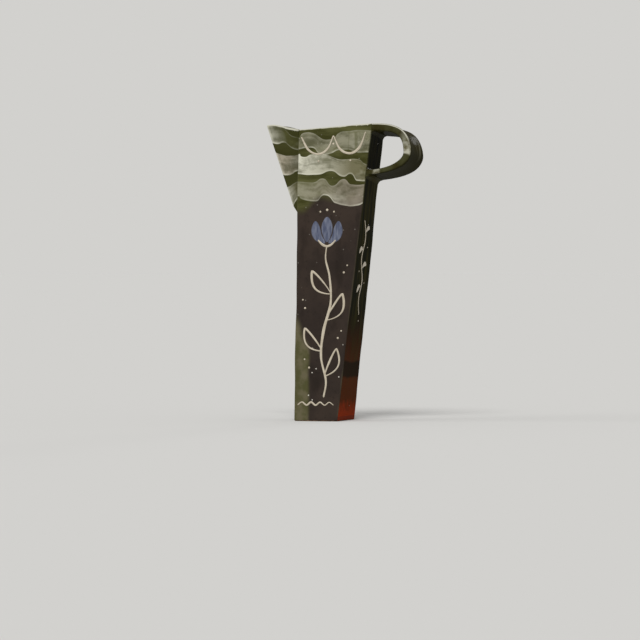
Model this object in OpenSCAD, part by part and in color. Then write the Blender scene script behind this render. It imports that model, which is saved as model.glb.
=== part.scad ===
// Tall slab-built pouring jug: four leaning wall slabs on a base slab, a beak spout folded from
// two cheeks on one side and a broad strap handle on the other, luted together with clay coils.
// Millimetres. The origin is the middle of the foot, the front faces -Y and the spout points to -X.

/* [Body] */
// Height of the rim at its highest corner, at the front beside the handle
body_h = 500; // [400:5:620]
// Width of the foot, from the spout side to the handle side
foot_w = 76; // [66:1:110]
// Depth of the foot, from front to back
foot_d = 97; // [80:1:125]
// Depth of the mouth, from front to back
mouth_d = 73; // [60:1:80]
// How far the handle side leans out between foot and rim
handle_lean = 57; // [25:1:80]
// How far the spout side leans in between foot and rim
spout_lean = 4; // [0:0.5:12]
// How much lower the rim lies beside the spout than beside the handle
rim_fall = 9.5; // [0:0.5:20]
// How much lower the rim lies at the back than at the front
rim_back_fall = 8; // [0:0.5:16]
// Thickness of the four wall slabs
wall_t = 7; // [5:0.5:9]
// Thickness of the base slab
base_t = 8; // [6:0.5:12]

/* [Spout] */
// How far the tip stands out from the spout side
spout_reach = 69; // [50:1:90]
// How much higher the tip lies than the rim beside the spout
tip_rise = 9; // [0:0.5:16]
// Height of the ridge, from the tip down to the chin
ridge_h = 137; // [110:1:170]
// How far the top of the chin stands out from the spout side
chin_reach = 20; // [14:1:28]
// Height of the slanted chin under the ridge
chin_h = 27; // [18:1:36]
// Thickness of the two cheeks
cheek_t = 7; // [5:0.5:9]

/* [Handle] */
// How far the handle stands out past the rim
handle_reach = 69; // [52:1:90]
// Height from the rim down to the underside of the lower root
handle_span = 86; // [72:1:120]
// Thickness of the strap at its upper root
strap_t = 12; // [8:0.5:15]
// Thickness of the strap at its lower root
strap_foot_t = 9; // [7:0.5:13]

/* [Seam coils] */
// Radius of the coils pressed into the four upright inside corners
corner_coil_r = 6; // [3:0.5:8]
// Radius of the coils pressed in along the floor
floor_coil_r = 7; // [3:0.5:9]
// Radius of the coil pressed into the fold of the spout
spout_coil_r = 8; // [4:0.5:10]
// Radius of the coils pressed into the corners at the handle's roots
root_coil_r = 6; // [3:0.5:8]

/* [Hidden] */
$fn = 64;

charcoal_glaze = "#3b3431";
olive_glaze = "#54543a";
dark_glaze = "#23241a";
pale_slip = "#8d8a76";
bare_clay = "#7d6a52";

// Directions: the front and the spout side are on the minus side of their axes
FRONT = -1;
BACK = 1;
SPOUT = -1;
HANDLE = 1;
ORIGIN = [0, 0, 0];
UP = [0, 0, 1];

// Cuts run this far past what they cut, and half spaces are this large
overrun = wall_t;
top_z = body_h + tip_rise + overrun;
reach = 3 * top_z;

// Where the outer faces stand at height z, and the level run of a thickness measured square to them
face_lean = (foot_d - mouth_d) / 2;
function spout_x(z) = -foot_w / 2 + spout_lean * z / body_h;
function handle_x(z) = foot_w / 2 + handle_lean * z / body_h;
function face_y(z) = foot_d / 2 - face_lean * z / body_h;
function level_run(t, lean) = t * norm([body_h, lean]) / body_h;
function unit(v) = v / norm(v);

// The rim's plane falls towards the spout and towards the back
mouth_w = handle_x(body_h) - spout_x(body_h);
rim_corner = [handle_x(body_h), -mouth_d / 2, body_h];
rim_up = unit(cross([mouth_w, 0, rim_fall], [0, mouth_d, -rim_back_fall]));

// The upper corner of the body beside the spout, where the outer edge meets the rim's plane
function crease(side) =
  let (low = [spout_x(0), side * face_y(0), 0],
       high = [spout_x(body_h), side * face_y(body_h), body_h],
       share = rim_up * (rim_corner - low) / (rim_up * (high - low)))
  low + share * (high - low);

// The spout's ridge runs from its tip to the chin, and the chin runs back to the wall
tip = [spout_x(body_h) - spout_reach, 0, body_h - rim_fall + tip_rise];
ridge_z = tip.z - ridge_h;
ridge_low = [spout_x(ridge_z) - chin_reach, 0, ridge_z];
chin_foot = [spout_x(ridge_z - chin_h), 0, ridge_z - chin_h];
chin_out = unit([chin_foot.z - ridge_low.z, 0, ridge_low.x - chin_foot.x]);
function cheek_out(side) = -side * unit(cross(tip - crease(side), ridge_low - crease(side)));
function cheek_up(side) = -side * unit(cross(tip - crease(side), cheek_out(side)));
cheek_spread = 1 + cheek_out(FRONT) * cheek_out(BACK);
fold_low = ridge_low - cheek_t / cheek_spread * (cheek_out(FRONT) + cheek_out(BACK));
fold_way = unit(tip - ridge_low);

// The handle's middle line: one curve over the shoulder to the knuckle, one back to the wall,
// as shares of the knuckle's reach past the rim and of the drop between the two roots
shoulder_shares = [[0, 0], [0.59, 0], [0.96, 0.09], [1, 0.55]];
lower_arm_shares = [[1, 0.55], [0.9, 0.75], [0.5, 0.98], [0, 1]];
curve_steps = 12;
strap_top_z = body_h - strap_t / 2;
strap_foot_z = body_h - handle_span + strap_foot_t / 2;
function strap_point(shares, root_x) =
  let (knuckle_x = handle_x(body_h) + handle_reach - strap_t / 2)
  [root_x + shares.x * (knuckle_x - root_x), strap_top_z + shares.y * (strap_foot_z - strap_top_z)];
function curve(p, t) =
  pow(1 - t, 3) * p[0] + 3 * pow(1 - t, 2) * t * p[1] + 3 * (1 - t) * t * t * p[2] + pow(t, 3) * p[3];
shoulder = [for (s = shoulder_shares) strap_point(s, handle_x(body_h))];
lower_arm = [for (s = lower_arm_shares) strap_point(s, handle_x(strap_foot_z))];
strap_line = concat(
  [shoulder[0] - [overrun, 0]],
  [for (i = [0 : curve_steps - 1]) curve(shoulder, i / curve_steps)],
  [for (i = [0 : curve_steps]) curve(lower_arm, i / curve_steps)],
  [lower_arm[3] - [overrun, 0]]
);
strap_last = len(strap_line) - 1;
function strap_side(i) =
  let (way = unit(strap_line[min(i + 1, strap_last)] - strap_line[max(i - 1, 0)]))
  [-way.y, way.x] * (strap_t + (strap_foot_t - strap_t) * i / strap_last) / 2;

// All space on the inner side of the plane through p that faces along out
module behind(p, out) {
  u = unit(out);
  translate(p)
    rotate([0, acos(u.z), atan2(u.y, u.x)])
      translate([0, 0, -reach / 2])
        cube(reach, center = true);
}

// A round coil of clay along the line from p to q, running past both ends to be trimmed
module coil(p, q, r) {
  way = unit(q - p);
  translate(p - overrun * way)
    rotate([0, acos(way.z), atan2(way.y, way.x)])
      cylinder(h = norm(q - p) + 2 * overrun, r = r);
}

// The space between the spout side and the handle side, drawn in by t, from z up
module between_sides(t, z) {
  spout_in = level_run(t, spout_lean);
  handle_in = level_run(t, handle_lean);
  rotate([90, 0, 0])
    linear_extrude(height = reach, center = true)
      polygon([
        [spout_x(z) + spout_in, z],
        [handle_x(z) - handle_in, z],
        [handle_x(top_z) - handle_in, top_z],
        [spout_x(top_z) + spout_in, top_z]
      ]);
}

// The space between the front and the back, drawn in by t, from z up
module between_faces(t, z) {
  face_in = level_run(t, face_lean);
  rotate([90, 0, 90])
    linear_extrude(height = reach, center = true)
      polygon([
        [face_in - face_y(z), z],
        [face_y(z) - face_in, z],
        [face_y(top_z) - face_in, top_z],
        [face_in - face_y(top_z), top_z]
      ]);
}

module below_rim() behind(rim_corner, rim_up);

module on_side(x_side) behind(ORIGIN, [-x_side, 0, 0]);

module on_face(y_side) behind(ORIGIN, [0, -y_side, 0]);

module base_slab() color(bare_clay)
  intersection() {
    between_sides(0, 0);
    between_faces(0, 0);
    behind([0, 0, base_t], UP);
  }

// A front or back slab: the full width of the body, standing on the base
module face_slab(side)
  intersection() {
    difference() {
      between_faces(0, base_t);
      between_faces(wall_t, base_t - overrun);
    }
    between_sides(0, base_t);
    below_rim();
    on_face(side);
  }

// A side slab: set between the front and back slabs, standing on the base
module side_slab(side)
  intersection() {
    difference() {
      between_sides(0, base_t);
      between_sides(wall_t, base_t - overrun);
    }
    between_faces(wall_t, base_t);
    below_rim();
    on_side(side);
  }

module front_slab() color(charcoal_glaze) face_slab(FRONT);

module back_slab() color(charcoal_glaze) face_slab(BACK);

module handle_side_slab() color(dark_glaze) side_slab(HANDLE);

// The side under the spout has a notch where the spout opens into the body
module spout_side_slab() color(charcoal_glaze)
  difference() {
    side_slab(SPOUT);
    spout_trough();
  }

module behind_cheek(side, t) behind(tip - t * cheek_out(side), cheek_out(side));

// The hollow of the spout, open upwards and into the body
module spout_trough()
  intersection() {
    behind_cheek(FRONT, cheek_t);
    behind_cheek(BACK, cheek_t);
    behind(chin_foot - cheek_t * chin_out, chin_out);
  }

// One cheek: its half of the folded spout, mitred along the ridge and butted to the wall
module spout_cheek(side)
  intersection() {
    difference() {
      behind_cheek(side, 0);
      spout_trough();
      between_sides(0, 0);
    }
    behind(chin_foot, chin_out);
    behind(tip, cheek_up(side));
    on_face(side);
    on_side(SPOUT);
  }

module spout_front_cheek() color(pale_slip) spout_cheek(FRONT);

module spout_back_cheek() color(pale_slip) spout_cheek(BACK);

module spout_ridge_coil() color(olive_glaze)
  intersection() {
    difference() {
      coil(fold_low - ridge_h * fold_way, fold_low + 2 * ridge_h * fold_way, spout_coil_r);
      between_sides(0, 0);
    }
    spout_trough();
    behind(tip, cheek_up(FRONT));
    behind(tip, cheek_up(BACK));
  }

// The handle tips down towards the back with the rim, hinged on the rim's front edge
module tipped_with_rim()
  translate([0, rim_corner.y, rim_corner.z])
    rotate([-atan2(rim_back_fall, mouth_d), 0, 0])
      translate([0, -rim_corner.y, -rim_corner.z])
        children();

// The strap before it is trimmed to the width of the body and butted to the wall
module untrimmed_strap()
  tipped_with_rim()
    rotate([90, 0, 0])
      linear_extrude(height = 2 * foot_d, center = true)
        polygon(concat(
          [for (i = [0 : strap_last]) strap_line[i] + strap_side(i)],
          [for (i = [strap_last : -1 : 0]) strap_line[i] - strap_side(i)]
        ));

module handle_strap() color(olive_glaze)
  difference() {
    intersection() {
      untrimmed_strap();
      between_faces(0, 0);
    }
    between_sides(0, 0);
  }

// A coil pressed into the corner between the wall and the strap, at height z
module root_coil(z) color(olive_glaze)
  difference() {
    intersection() {
      tipped_with_rim()
        coil([handle_x(z), -foot_d, z], [handle_x(z), foot_d, z], root_coil_r);
      between_faces(0, 0);
    }
    between_sides(0, 0);
    untrimmed_strap();
  }

module handle_top_coil() root_coil(strap_top_z - strap_t / 2);

module handle_foot_upper_coil() root_coil(strap_foot_z + strap_foot_t / 2);

module handle_foot_lower_coil() root_coil(strap_foot_z - strap_foot_t / 2);

// The inside corner line of the walls at height z
function inner_corner(x_side, y_side, z) = [
  x_side == SPOUT
    ? spout_x(z) + level_run(wall_t, spout_lean)
    : handle_x(z) - level_run(wall_t, handle_lean),
  y_side * (face_y(z) - level_run(wall_t, face_lean)),
  z
];

module cavity()
  intersection() {
    between_sides(wall_t, base_t);
    between_faces(wall_t, base_t);
    below_rim();
  }

// The untrimmed coils along the floor: at the foot of a front or back slab, and of a side slab
module long_floor_round(y_side)
  coil(inner_corner(SPOUT, y_side, base_t), inner_corner(HANDLE, y_side, base_t), floor_coil_r);

module short_floor_round(x_side)
  coil(inner_corner(x_side, FRONT, base_t), inner_corner(x_side, BACK, base_t), floor_coil_r);

module long_floor_coil(y_side) color(bare_clay)
  intersection() {
    long_floor_round(y_side);
    cavity();
  }

// The short coils lie between the two long ones
module short_floor_coil(x_side) color(bare_clay)
  difference() {
    intersection() {
      short_floor_round(x_side);
      cavity();
    }
    long_floor_round(FRONT);
    long_floor_round(BACK);
  }

// An upright coil in an inside corner, from the floor coils up, trimmed at the spout's notch
module corner_coil(x_side, y_side) color(bare_clay)
  difference() {
    intersection() {
      coil(inner_corner(x_side, y_side, 0), inner_corner(x_side, y_side, top_z), corner_coil_r);
      cavity();
    }
    long_floor_round(y_side);
    short_floor_round(x_side);
    if (x_side == SPOUT) spout_trough();
  }

module corner_coil_front_spout() corner_coil(SPOUT, FRONT);

module corner_coil_front_handle() corner_coil(HANDLE, FRONT);

module corner_coil_back_spout() corner_coil(SPOUT, BACK);

module corner_coil_back_handle() corner_coil(HANDLE, BACK);

module floor_coil_front() long_floor_coil(FRONT);

module floor_coil_back() long_floor_coil(BACK);

module floor_coil_spout() short_floor_coil(SPOUT);

module floor_coil_handle() short_floor_coil(HANDLE);

base_slab();
front_slab();
back_slab();
spout_side_slab();
handle_side_slab();
spout_front_cheek();
spout_back_cheek();
spout_ridge_coil();
handle_strap();
handle_top_coil();
handle_foot_upper_coil();
handle_foot_lower_coil();
corner_coil_front_spout();
corner_coil_front_handle();
corner_coil_back_spout();
corner_coil_back_handle();
floor_coil_front();
floor_coil_back();
floor_coil_spout();
floor_coil_handle();
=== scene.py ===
"""Looks of a tall slab-built jug: glazed walls, a beak spout, a strap handle and trailed slip.

Every piece is a grid of points worked out with numpy in metres, in the frame of the CAD part: the
foot's middle is the origin, the front faces -Y, the spout points to -X and the handle to +X.
"""
import math

import bpy
import numpy as np
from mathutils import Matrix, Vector


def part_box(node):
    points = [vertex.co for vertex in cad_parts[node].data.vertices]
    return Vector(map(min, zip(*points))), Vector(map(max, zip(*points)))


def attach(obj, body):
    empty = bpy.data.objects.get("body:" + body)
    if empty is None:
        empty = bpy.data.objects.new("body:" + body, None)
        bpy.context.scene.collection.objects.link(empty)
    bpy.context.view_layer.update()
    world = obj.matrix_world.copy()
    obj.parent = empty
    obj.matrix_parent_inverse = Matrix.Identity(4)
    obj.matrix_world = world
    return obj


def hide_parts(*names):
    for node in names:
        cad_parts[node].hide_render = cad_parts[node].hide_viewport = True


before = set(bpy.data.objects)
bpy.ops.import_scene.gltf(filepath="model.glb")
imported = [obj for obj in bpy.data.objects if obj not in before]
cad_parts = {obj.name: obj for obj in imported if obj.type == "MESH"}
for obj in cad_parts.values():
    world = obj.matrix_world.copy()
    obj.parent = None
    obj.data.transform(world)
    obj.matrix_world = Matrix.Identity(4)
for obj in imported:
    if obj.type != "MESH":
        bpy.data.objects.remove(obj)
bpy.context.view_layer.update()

MM = 0.001
SHARP = math.radians(42)

# Slabs: wall thickness, roundings of the lip, of the upright edges, of the spout's crease and of the
# foot, and the height above the floor over which the slabs' unevenness begins.
WALL = 7 * MM
LIP = 2.6 * MM
EDGE_R = 1.9 * MM
CREASE_R = 1.2 * MM
FOOT_R = 2.4 * MM
FOOT_CALM = 60 * MM

# Spout: cheek thickness, roundness of the ridge, rise of the pouring edge behind the tip, how the joint
# lies on the wall (the length that is smeared, the least of it, and how far it is pressed in), and how
# far from the ridge the lip turns straight back.
CHEEK = 7 * MM
RIDGE_R = 2.2 * MM
POUR_RISE = 2.6 * MM
SMEAR = 6 * MM
SMEAR_LEAST = 0.1 * MM
SMEAR_SINK = 0.3 * MM
TIP_ROUND = 5 * MM

# Handle: section rounding, hollow of its outer face, fall from the front edge to the back edge, how far
# its ends sink into the wall, its thickness in millimetres at shares of its length, and the control
# points of its centre line's two halves as shares of the reach and of the drop.
STRAP_EDGE_R = 3.2 * MM
STRAP_HOLLOW = 1.6 * MM
STRAP_BACK_FALL = 8 * MM
STRAP_SINK = 2.6 * MM
STRAP_THICKNESS = [(0, 12), (0.22, 11.6), (0.38, 12.4), (0.49, 13.6), (0.58, 11.6), (0.7, 9.6), (1, 9)]
SHOULDER = np.array([[0, 0], [0.65, 0], [0.97, 0.07], [1, 0.55]])
LOWER_ARM = np.array([[1, 0.55], [0.98, 0.79], [0.62, 0.965], [0, 1]])

# Coils of clay in the corners: sizes, how far they lie behind the corner, the height over which an
# upright one thins out and what it stays below the solid's top, roundings and sinking at the handle.
CORNER_COIL = 6 * MM
CORNER_SINK = 1 * MM
CORNER_FADE = 30 * MM
CORNER_BELOW = 4 * MM
FOLD_COIL = 8 * MM
FOLD_SINK = 0.6 * MM
ROOT_COIL = 6.5 * MM
ROOT_R = 2.4 * MM
ROOT_SINK = 0.8 * MM

# Trailed slip: how deep it sits in the glaze, a line's height and the two lengths of its swell, a dot's
# height, the width that has it and the rise of its top point, a petal's height and least half width.
SLIP_SINK = 0.15 * MM
TRAIL_HEIGHT = 1.0 * MM
LONG_PULSE = 17 * MM
SHORT_PULSE = 6 * MM
DOT_HEIGHT = 1.2 * MM
DOT_FULL = 4 * MM
DOT_CROWN = 0.05 * MM
PETAL_HEIGHT = 0.7 * MM
PETAL_LEAST = 0.1 * MM

# Points along the rows and columns of each surface.
SEAM_STEPS = 3
EDGE_STEPS = 7
LIP_STEPS = 6
WALL_ROWS = 130
FACE_COLUMNS = 46
LINING_COLUMNS = 36
SIDE_COLUMNS = 43
CHEEK_ROWS = 70
CHEEK_COLUMNS = 34
TROUGH_COLUMNS = 20
SMEAR_COLUMNS = 8
NOTCH_STEPS = 200
FOLD_ROWS = 60
FOLD_COLUMNS = 13
STRAP_ROWS = 70
STRAP_COLUMNS = 26
STRAP_CORNER_STEPS = 6
ROOT_ROWS = 36
ROOT_END_ROWS = 7
COIL_ROWS = 70
COIL_COLUMNS = 11
TRAIL_COLUMNS = 11
PETAL_COLUMNS = 17
LEAF_STEPS = 40
SPAN_STEPS = 24
DOT_COLUMNS = 14
DOT_RINGS = 6


# Small tools


def smooth(value, low, high):
    """Smooth step: 0 below low, 1 above high, 3t^2 - 2t^3 between."""
    t = np.clip((value - low) / (high - low), 0, 1)
    return t * t * (3 - 2 * t)


def corner(node, x, y, z):
    """The vertex of a CAD node that lies farthest along (x, y, z)."""
    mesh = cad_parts[node].data
    points = np.empty(3 * len(mesh.vertices))
    mesh.vertices.foreach_get("co", points)
    points = points.reshape(-1, 3)
    return points[np.argmax(points @ np.array((x, y, z), float))]


def along(foot, rim, axis):
    """The straight line from a foot corner to a rim corner, as one coordinate over the height."""
    slope = (rim[axis] - foot[axis]) / (rim[2] - foot[2])
    return lambda z: foot[axis] + slope * (z - foot[2])


def wobble(points):
    """Unevenness of hand-rolled slabs: a sum of long sine waves over the place, none at the foot."""
    waves = np.zeros(points.shape[:-1])
    for height, turns, phase in WAVES:
        waves = waves + height * np.sin(points @ np.array(turns, float) + phase)
    return waves * smooth(points[..., 2], FLOOR_Z, FLOOR_Z + FOOT_CALM)


# Waves of the slabs: height, radians a metre along x, y and z, and phase
WAVES = [
    (0.45 * MM, (19, 11, 24), 0.4),
    (0.30 * MM, (-41, 33, 47), 1.9),
    (0.14 * MM, (88, -61, 105), 4.1),
]


def bow(start, middle, end, t):
    """A curve of the second degree from start to end, drawn towards the middle: the Bernstein sum."""
    return (1 - t) ** 2 * start + 2 * t * (1 - t) * middle + t**2 * end


def sideways(line):
    """Unit vectors square to a flat line: its steps, brought to length one and turned a quarter."""
    tangent = np.gradient(line, axis=0)
    tangent /= np.linalg.norm(tangent, axis=1, keepdims=True)
    return np.column_stack([-tangent[:, 1], tangent[:, 0]])


def evened(line, count):
    """A flat line with so many points at even steps: both coordinates over the length gone so far."""
    gone = np.concatenate([[0], np.cumsum(np.linalg.norm(np.diff(line, axis=0), axis=1))])
    even = np.linspace(0, gone[-1], count)
    return np.column_stack([np.interp(even, gone, line[:, k]) for k in range(2)])


def solid(name, points, faces, **fields):
    """A smooth closed mesh from points and faces, turned outwards by the sign of its volume: the sum
    over each face's triangles of the corners' triple product. A field is one value a point."""
    fans = [(f[0], b, c) for f in faces for b, c in zip(f[1:], f[2:])]
    a, b, c = (points[np.array(fans)[:, k]] - points.mean(axis=0) for k in range(3))
    if np.einsum("ij,ij->", a, np.cross(b, c)) < 0:
        faces = [f[::-1] for f in faces]
    mesh = bpy.data.meshes.new(name)
    mesh.from_pydata(points.tolist(), [], faces)
    mesh.shade_smooth()
    mesh.set_sharp_from_angle(angle=SHARP)
    for field, values in fields.items():
        layer = mesh.attributes.new(field, "FLOAT", "POINT")
        layer.data.foreach_set("value", np.ascontiguousarray(values, np.float32))
    piece = bpy.data.objects.new(name, mesh)
    bpy.context.collection.objects.link(piece)
    return piece


def skin(name, rows, **fields):
    """A closed skin over rows of points: each row is a loop, neighbouring rows are joined by quads
    and the two end rows are capped. rows is (rows, columns, 3), and so is a field without the 3."""
    count, around = rows.shape[:2]
    index = np.arange(count * around).reshape(count, around)
    after = np.roll(index, -1, axis=1)
    quads = np.stack([index[:-1], after[:-1], after[1:], index[1:]], axis=-1).reshape(-1, 4)
    faces = quads.tolist() + [index[0][::-1].tolist(), index[-1].tolist()]
    flat = {key: np.broadcast_to(value, (count, around)).ravel() for key, value in fields.items()}
    return solid(name, rows.reshape(-1, 3), faces, **flat)


def paint(piece, glaze):
    """Gives a piece its one glaze."""
    piece.data.materials.clear()
    piece.data.materials.append(glaze)


def dress(piece, glaze, slot, *nodes):
    """Gives a piece its glaze, seats it on the body and hides the nodes it stands for; slot is not used.
    """
    paint(piece, glaze)
    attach(piece, "root")
    if nodes:
        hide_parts(*nodes)


# Lines of the CAD part

FOOT_LEFT = corner("base_slab", -1, -1, -9)
FOOT_RIGHT = corner("base_slab", 1, -1, -9)
RIM_LEFT = corner("front_slab", -9, -1, 1)
RIM_RIGHT = corner("front_slab", 1, -1, 1)
RIM_BACK = corner("back_slab", -9, 1, 1)
FLOOR_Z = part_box("base_slab")[1].z
TOP_Z = RIM_RIGHT[2]

left_x = along(FOOT_LEFT, RIM_LEFT, 0)
right_x = along(FOOT_RIGHT, RIM_RIGHT, 0)
face_y = along(FOOT_LEFT, RIM_LEFT, 1)

RIM_PLANE = np.linalg.solve(
    np.array([(p[0], p[1], 1) for p in (RIM_LEFT, RIM_RIGHT, RIM_BACK)]),
    np.array([p[2] for p in (RIM_LEFT, RIM_RIGHT, RIM_BACK)]),
)


def rim_z(x, y):
    """Height of the sloping rim plane over a place."""
    return RIM_PLANE[0] * x + RIM_PLANE[1] * y + RIM_PLANE[2]


def rim_over(place):
    """Height at which a leaning line meets the rim, in four rounds, each from the height before:
    place(z) gives the line's x and y."""
    z = TOP_Z
    for _ in range(4):
        z = rim_z(*place(z))
    return z


TIP = corner("spout_front_cheek", -1, 0, 1)
RIDGE_LOW = corner("spout_front_cheek", -2, 0, -1)
CHIN_FOOT = corner("spout_front_cheek", 0, -1, -9)
CREASE = corner("spout_front_cheek", 0, -1, 0)
CREASE_BACK = corner("spout_back_cheek", 0, 1, 0)
LIP_TURN = np.linspace(0, np.pi / 2, LIP_STEPS)[1:]


# The walls


def lip_inset(steps):
    """How far each row turns inwards: none over so many steps, then a quarter turn over the lip."""
    return np.concatenate([np.zeros(steps), LIP * (1 - np.cos(LIP_TURN))])


def wall_rows(top):
    """Rows of a wall: an even rise from the floor to just under the lip, then a quarter turn over it.
    Returns the heights (rows, columns) and the inset of each row."""
    rise = np.linspace(0, 1, WALL_ROWS)[:, None]
    straight = FLOOR_Z + rise * (top - LIP - FLOOR_Z)
    turned = top - LIP + LIP * np.sin(LIP_TURN)[:, None]
    return np.concatenate([straight, turned]), lip_inset(WALL_ROWS)[:, None]


def face_slab(name, y_side):
    """A front or back slab: a D-shaped loop carried up the wall. From the seam on the spout side it
    goes round a quarter arc, across the face, round the other arc to the seam on the handle side,
    and straight back along the inner face. Above, every point turns inwards over the lip."""
    u = np.linspace(0, 1, SEAM_STEPS)
    arc = np.linspace(0, np.pi / 2, EDGE_STEPS)
    near = 1 - np.cos(arc)
    s = np.linspace(0, 1, FACE_COLUMNS)[1:-1]
    i = np.linspace(1, 0, LINING_COLUMNS)
    none, full = np.zeros_like, np.ones_like
    # share of the width, left and right shift, left, right and wall depth, outward x and y
    parts = [
        (none(u), none(u), none(u), u, none(u), 1 - u, -full(u), none(u)),
        (none(arc), near, none(arc), near[::-1], none(arc), none(arc), near - 1, 1 - near[::-1]),
        (s, 1 - s, s, none(s), none(s), none(s), none(s), full(s)),
        (full(arc), none(arc), near[::-1], none(arc), near, none(arc), 1 - near[::-1], 1 - near),
        (full(u), none(u), none(u), none(u), u[::-1], (1 - u)[::-1], full(u), none(u)),
    ]
    parts[0] = tuple(v[:-1] for v in parts[0])
    parts[4] = tuple(v[1:] for v in parts[4])
    share, left, right, deep_l, deep_r, deep_w, out_x, out_y = (np.concatenate(v) for v in zip(*parts))
    outer = share.size

    def place(z):
        """x and y of every point of the loop at a height; y is the face's, less the point's depth."""
        crease = smooth(z, CHIN_FOOT[2], CREASE[2])
        left_r = (EDGE_R + crease * (CREASE_R - EDGE_R))[:, :outer]
        zo, zi = z[:, :outer], z[:, outer:]
        x = left_x(zo) + share * (right_x(zo) - left_x(zo)) + left * left_r - right * EDGE_R
        depth = deep_l * left_r + deep_r * EDGE_R + deep_w * WALL
        inner_x = left_x(zi) + WALL + i * (right_x(zi) - left_x(zi) - 2 * WALL)
        x = np.concatenate([x, inner_x], axis=1)
        depth = np.concatenate([depth, np.full_like(inner_x, WALL)], axis=1)
        return x, y_side * (-face_y(z) - depth)

    columns = outer + i.size
    top = rim_over(lambda z: place(np.full((1, columns), 1.0) * z))
    z, inset = wall_rows(top)
    x, y = place(z)
    inner_out = np.where((i > 0) & (i < 1), -1.0, 0.0)
    out = np.zeros((columns, 3))
    out[:, 0] = np.concatenate([out_x, np.zeros(i.size)])
    out[:, 1] = y_side * np.concatenate([out_y, inner_out])
    rows = np.stack([x, y, z], axis=-1)
    skin_side = (np.arange(columns) < outer).astype(float)
    joined = np.where(out[:, :1] < 0, [[0.0, 1, 1]], 1.0)
    rows = rows + out * (wobble(rows) * skin_side)[..., None] - out * joined * inset[..., None]
    edge = np.concatenate([np.abs(out_x * out_y) * 2, np.zeros(i.size)])
    depth = np.abs(face_y(z)) - np.abs(y)
    return skin(name, rows, drop=top - z, inside=1 - skin_side, edge=edge, depth=depth)


def side_slab(name, x_side, top_of):
    """A side slab between the two faces: a thin rectangular loop carried up the wall, out along
    one skin and back along the other. top_of gives the height of its upper edge."""
    v = np.linspace(-1, 1, SIDE_COLUMNS)
    share = np.concatenate([v, v[::-1]])
    outside = np.concatenate([np.ones_like(v), np.zeros_like(v)])
    wall_x = left_x if x_side < 0 else right_x

    def place(z):
        """x and y of every point of the loop at a height."""
        x = wall_x(z) - x_side * WALL * (1 - outside)
        return x, share * (-face_y(z) - WALL)

    top = top_of(place, np.abs(share), outside)
    z, inset = wall_rows(top)
    x, y = place(z)
    whole = rim_over(place) - top < MM
    out_x = x_side * np.where(outside > 0, 1.0, -(np.abs(share) < 1).astype(float))
    rows = np.stack([x, y, z], axis=-1)
    rows[..., 0] += out_x * (wobble(rows) * outside - inset * whole)
    drop = np.where(whole, top - z, 1.0)
    return skin(name, rows, drop=drop, inside=1 - outside)


def floor_slab(name):
    """The base: a rounded rectangle carried up from the bare foot, round its lower edge, to the floor."""
    arc = np.linspace(0, np.pi / 2, EDGE_STEPS)
    turn = (np.arange(4)[:, None] * np.pi / 2 + arc).ravel()
    sign_x = np.repeat([1, -1, -1, 1], arc.size)
    sign_y = np.repeat([1, 1, -1, -1], arc.size)
    tuck = np.linspace(0, np.pi / 2, LIP_STEPS)
    z = np.concatenate([[0], FOOT_R * (1 - np.cos(tuck))[1:], [FLOOR_Z]])[:, None]
    inset = np.concatenate([[FOOT_R], FOOT_R * (1 - np.sin(tuck))[1:], [0]])[:, None]
    half_y = -face_y(z)
    corner_x = np.where(sign_x > 0, right_x(z) - EDGE_R, left_x(z) + EDGE_R)
    x = corner_x + (EDGE_R - inset) * np.cos(turn)
    y = sign_y * (half_y - EDGE_R) + (EDGE_R - inset) * np.sin(turn)
    rows = np.stack([x, y, np.broadcast_to(z, x.shape)], axis=-1)
    return skin(name, rows, depth=half_y - np.abs(y))


# The spout


def cheek_lines(w):
    """Lines of a cheek at shares w of its height: the joint on the wall, the ridge, the fold inside
    the ridge, and how much of the cheek's run is left for the trough. The cheek's inner face lies
    its thickness inside the outer one, so the fold stands back by that over the sine of the half
    angle; low down, where the cheeks meet before the wall, no trough is left."""
    w = np.asarray(w)[:, None]
    joint = CHIN_FOOT + w * (CREASE - CHIN_FOOT)
    ridge = RIDGE_LOW + w * (TIP - RIDGE_LOW)
    run = joint - ridge
    axis = run * np.array([1, 0, 1])
    length = np.linalg.norm(axis, axis=1, keepdims=True)
    half_sine = np.abs(run[:, 1:2]) / np.linalg.norm(run, axis=1, keepdims=True)
    back = np.minimum(CHEEK / half_sine, length)
    fold = ridge + axis / length * back
    return joint, ridge, fold, 1 - back / length


def notch(place, offset, outside):
    """Upper edge of the spout's side slab: the rim, cut down by the trough's V. The V's edge is where
    the trough meets the wall; on the inner skin it is wider by the slope of the cheeks."""
    joint, ridge, fold, left = cheek_lines(np.linspace(0, 1, NOTCH_STEPS))
    edge = fold + (joint - ridge) * left
    half = -face_y(TOP_Z) - WALL
    widen = (1 - outside) * WALL * -CREASE[1] / (CREASE[0] - TIP[0])
    cut = np.interp(np.maximum(offset * half - widen, 0), np.abs(edge[:, 1]), edge[:, 2])
    past = offset * half - widen > np.abs(edge[-1, 1])
    rim = rim_over(place)
    return np.where(past, rim, np.minimum(cut, rim))


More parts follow.
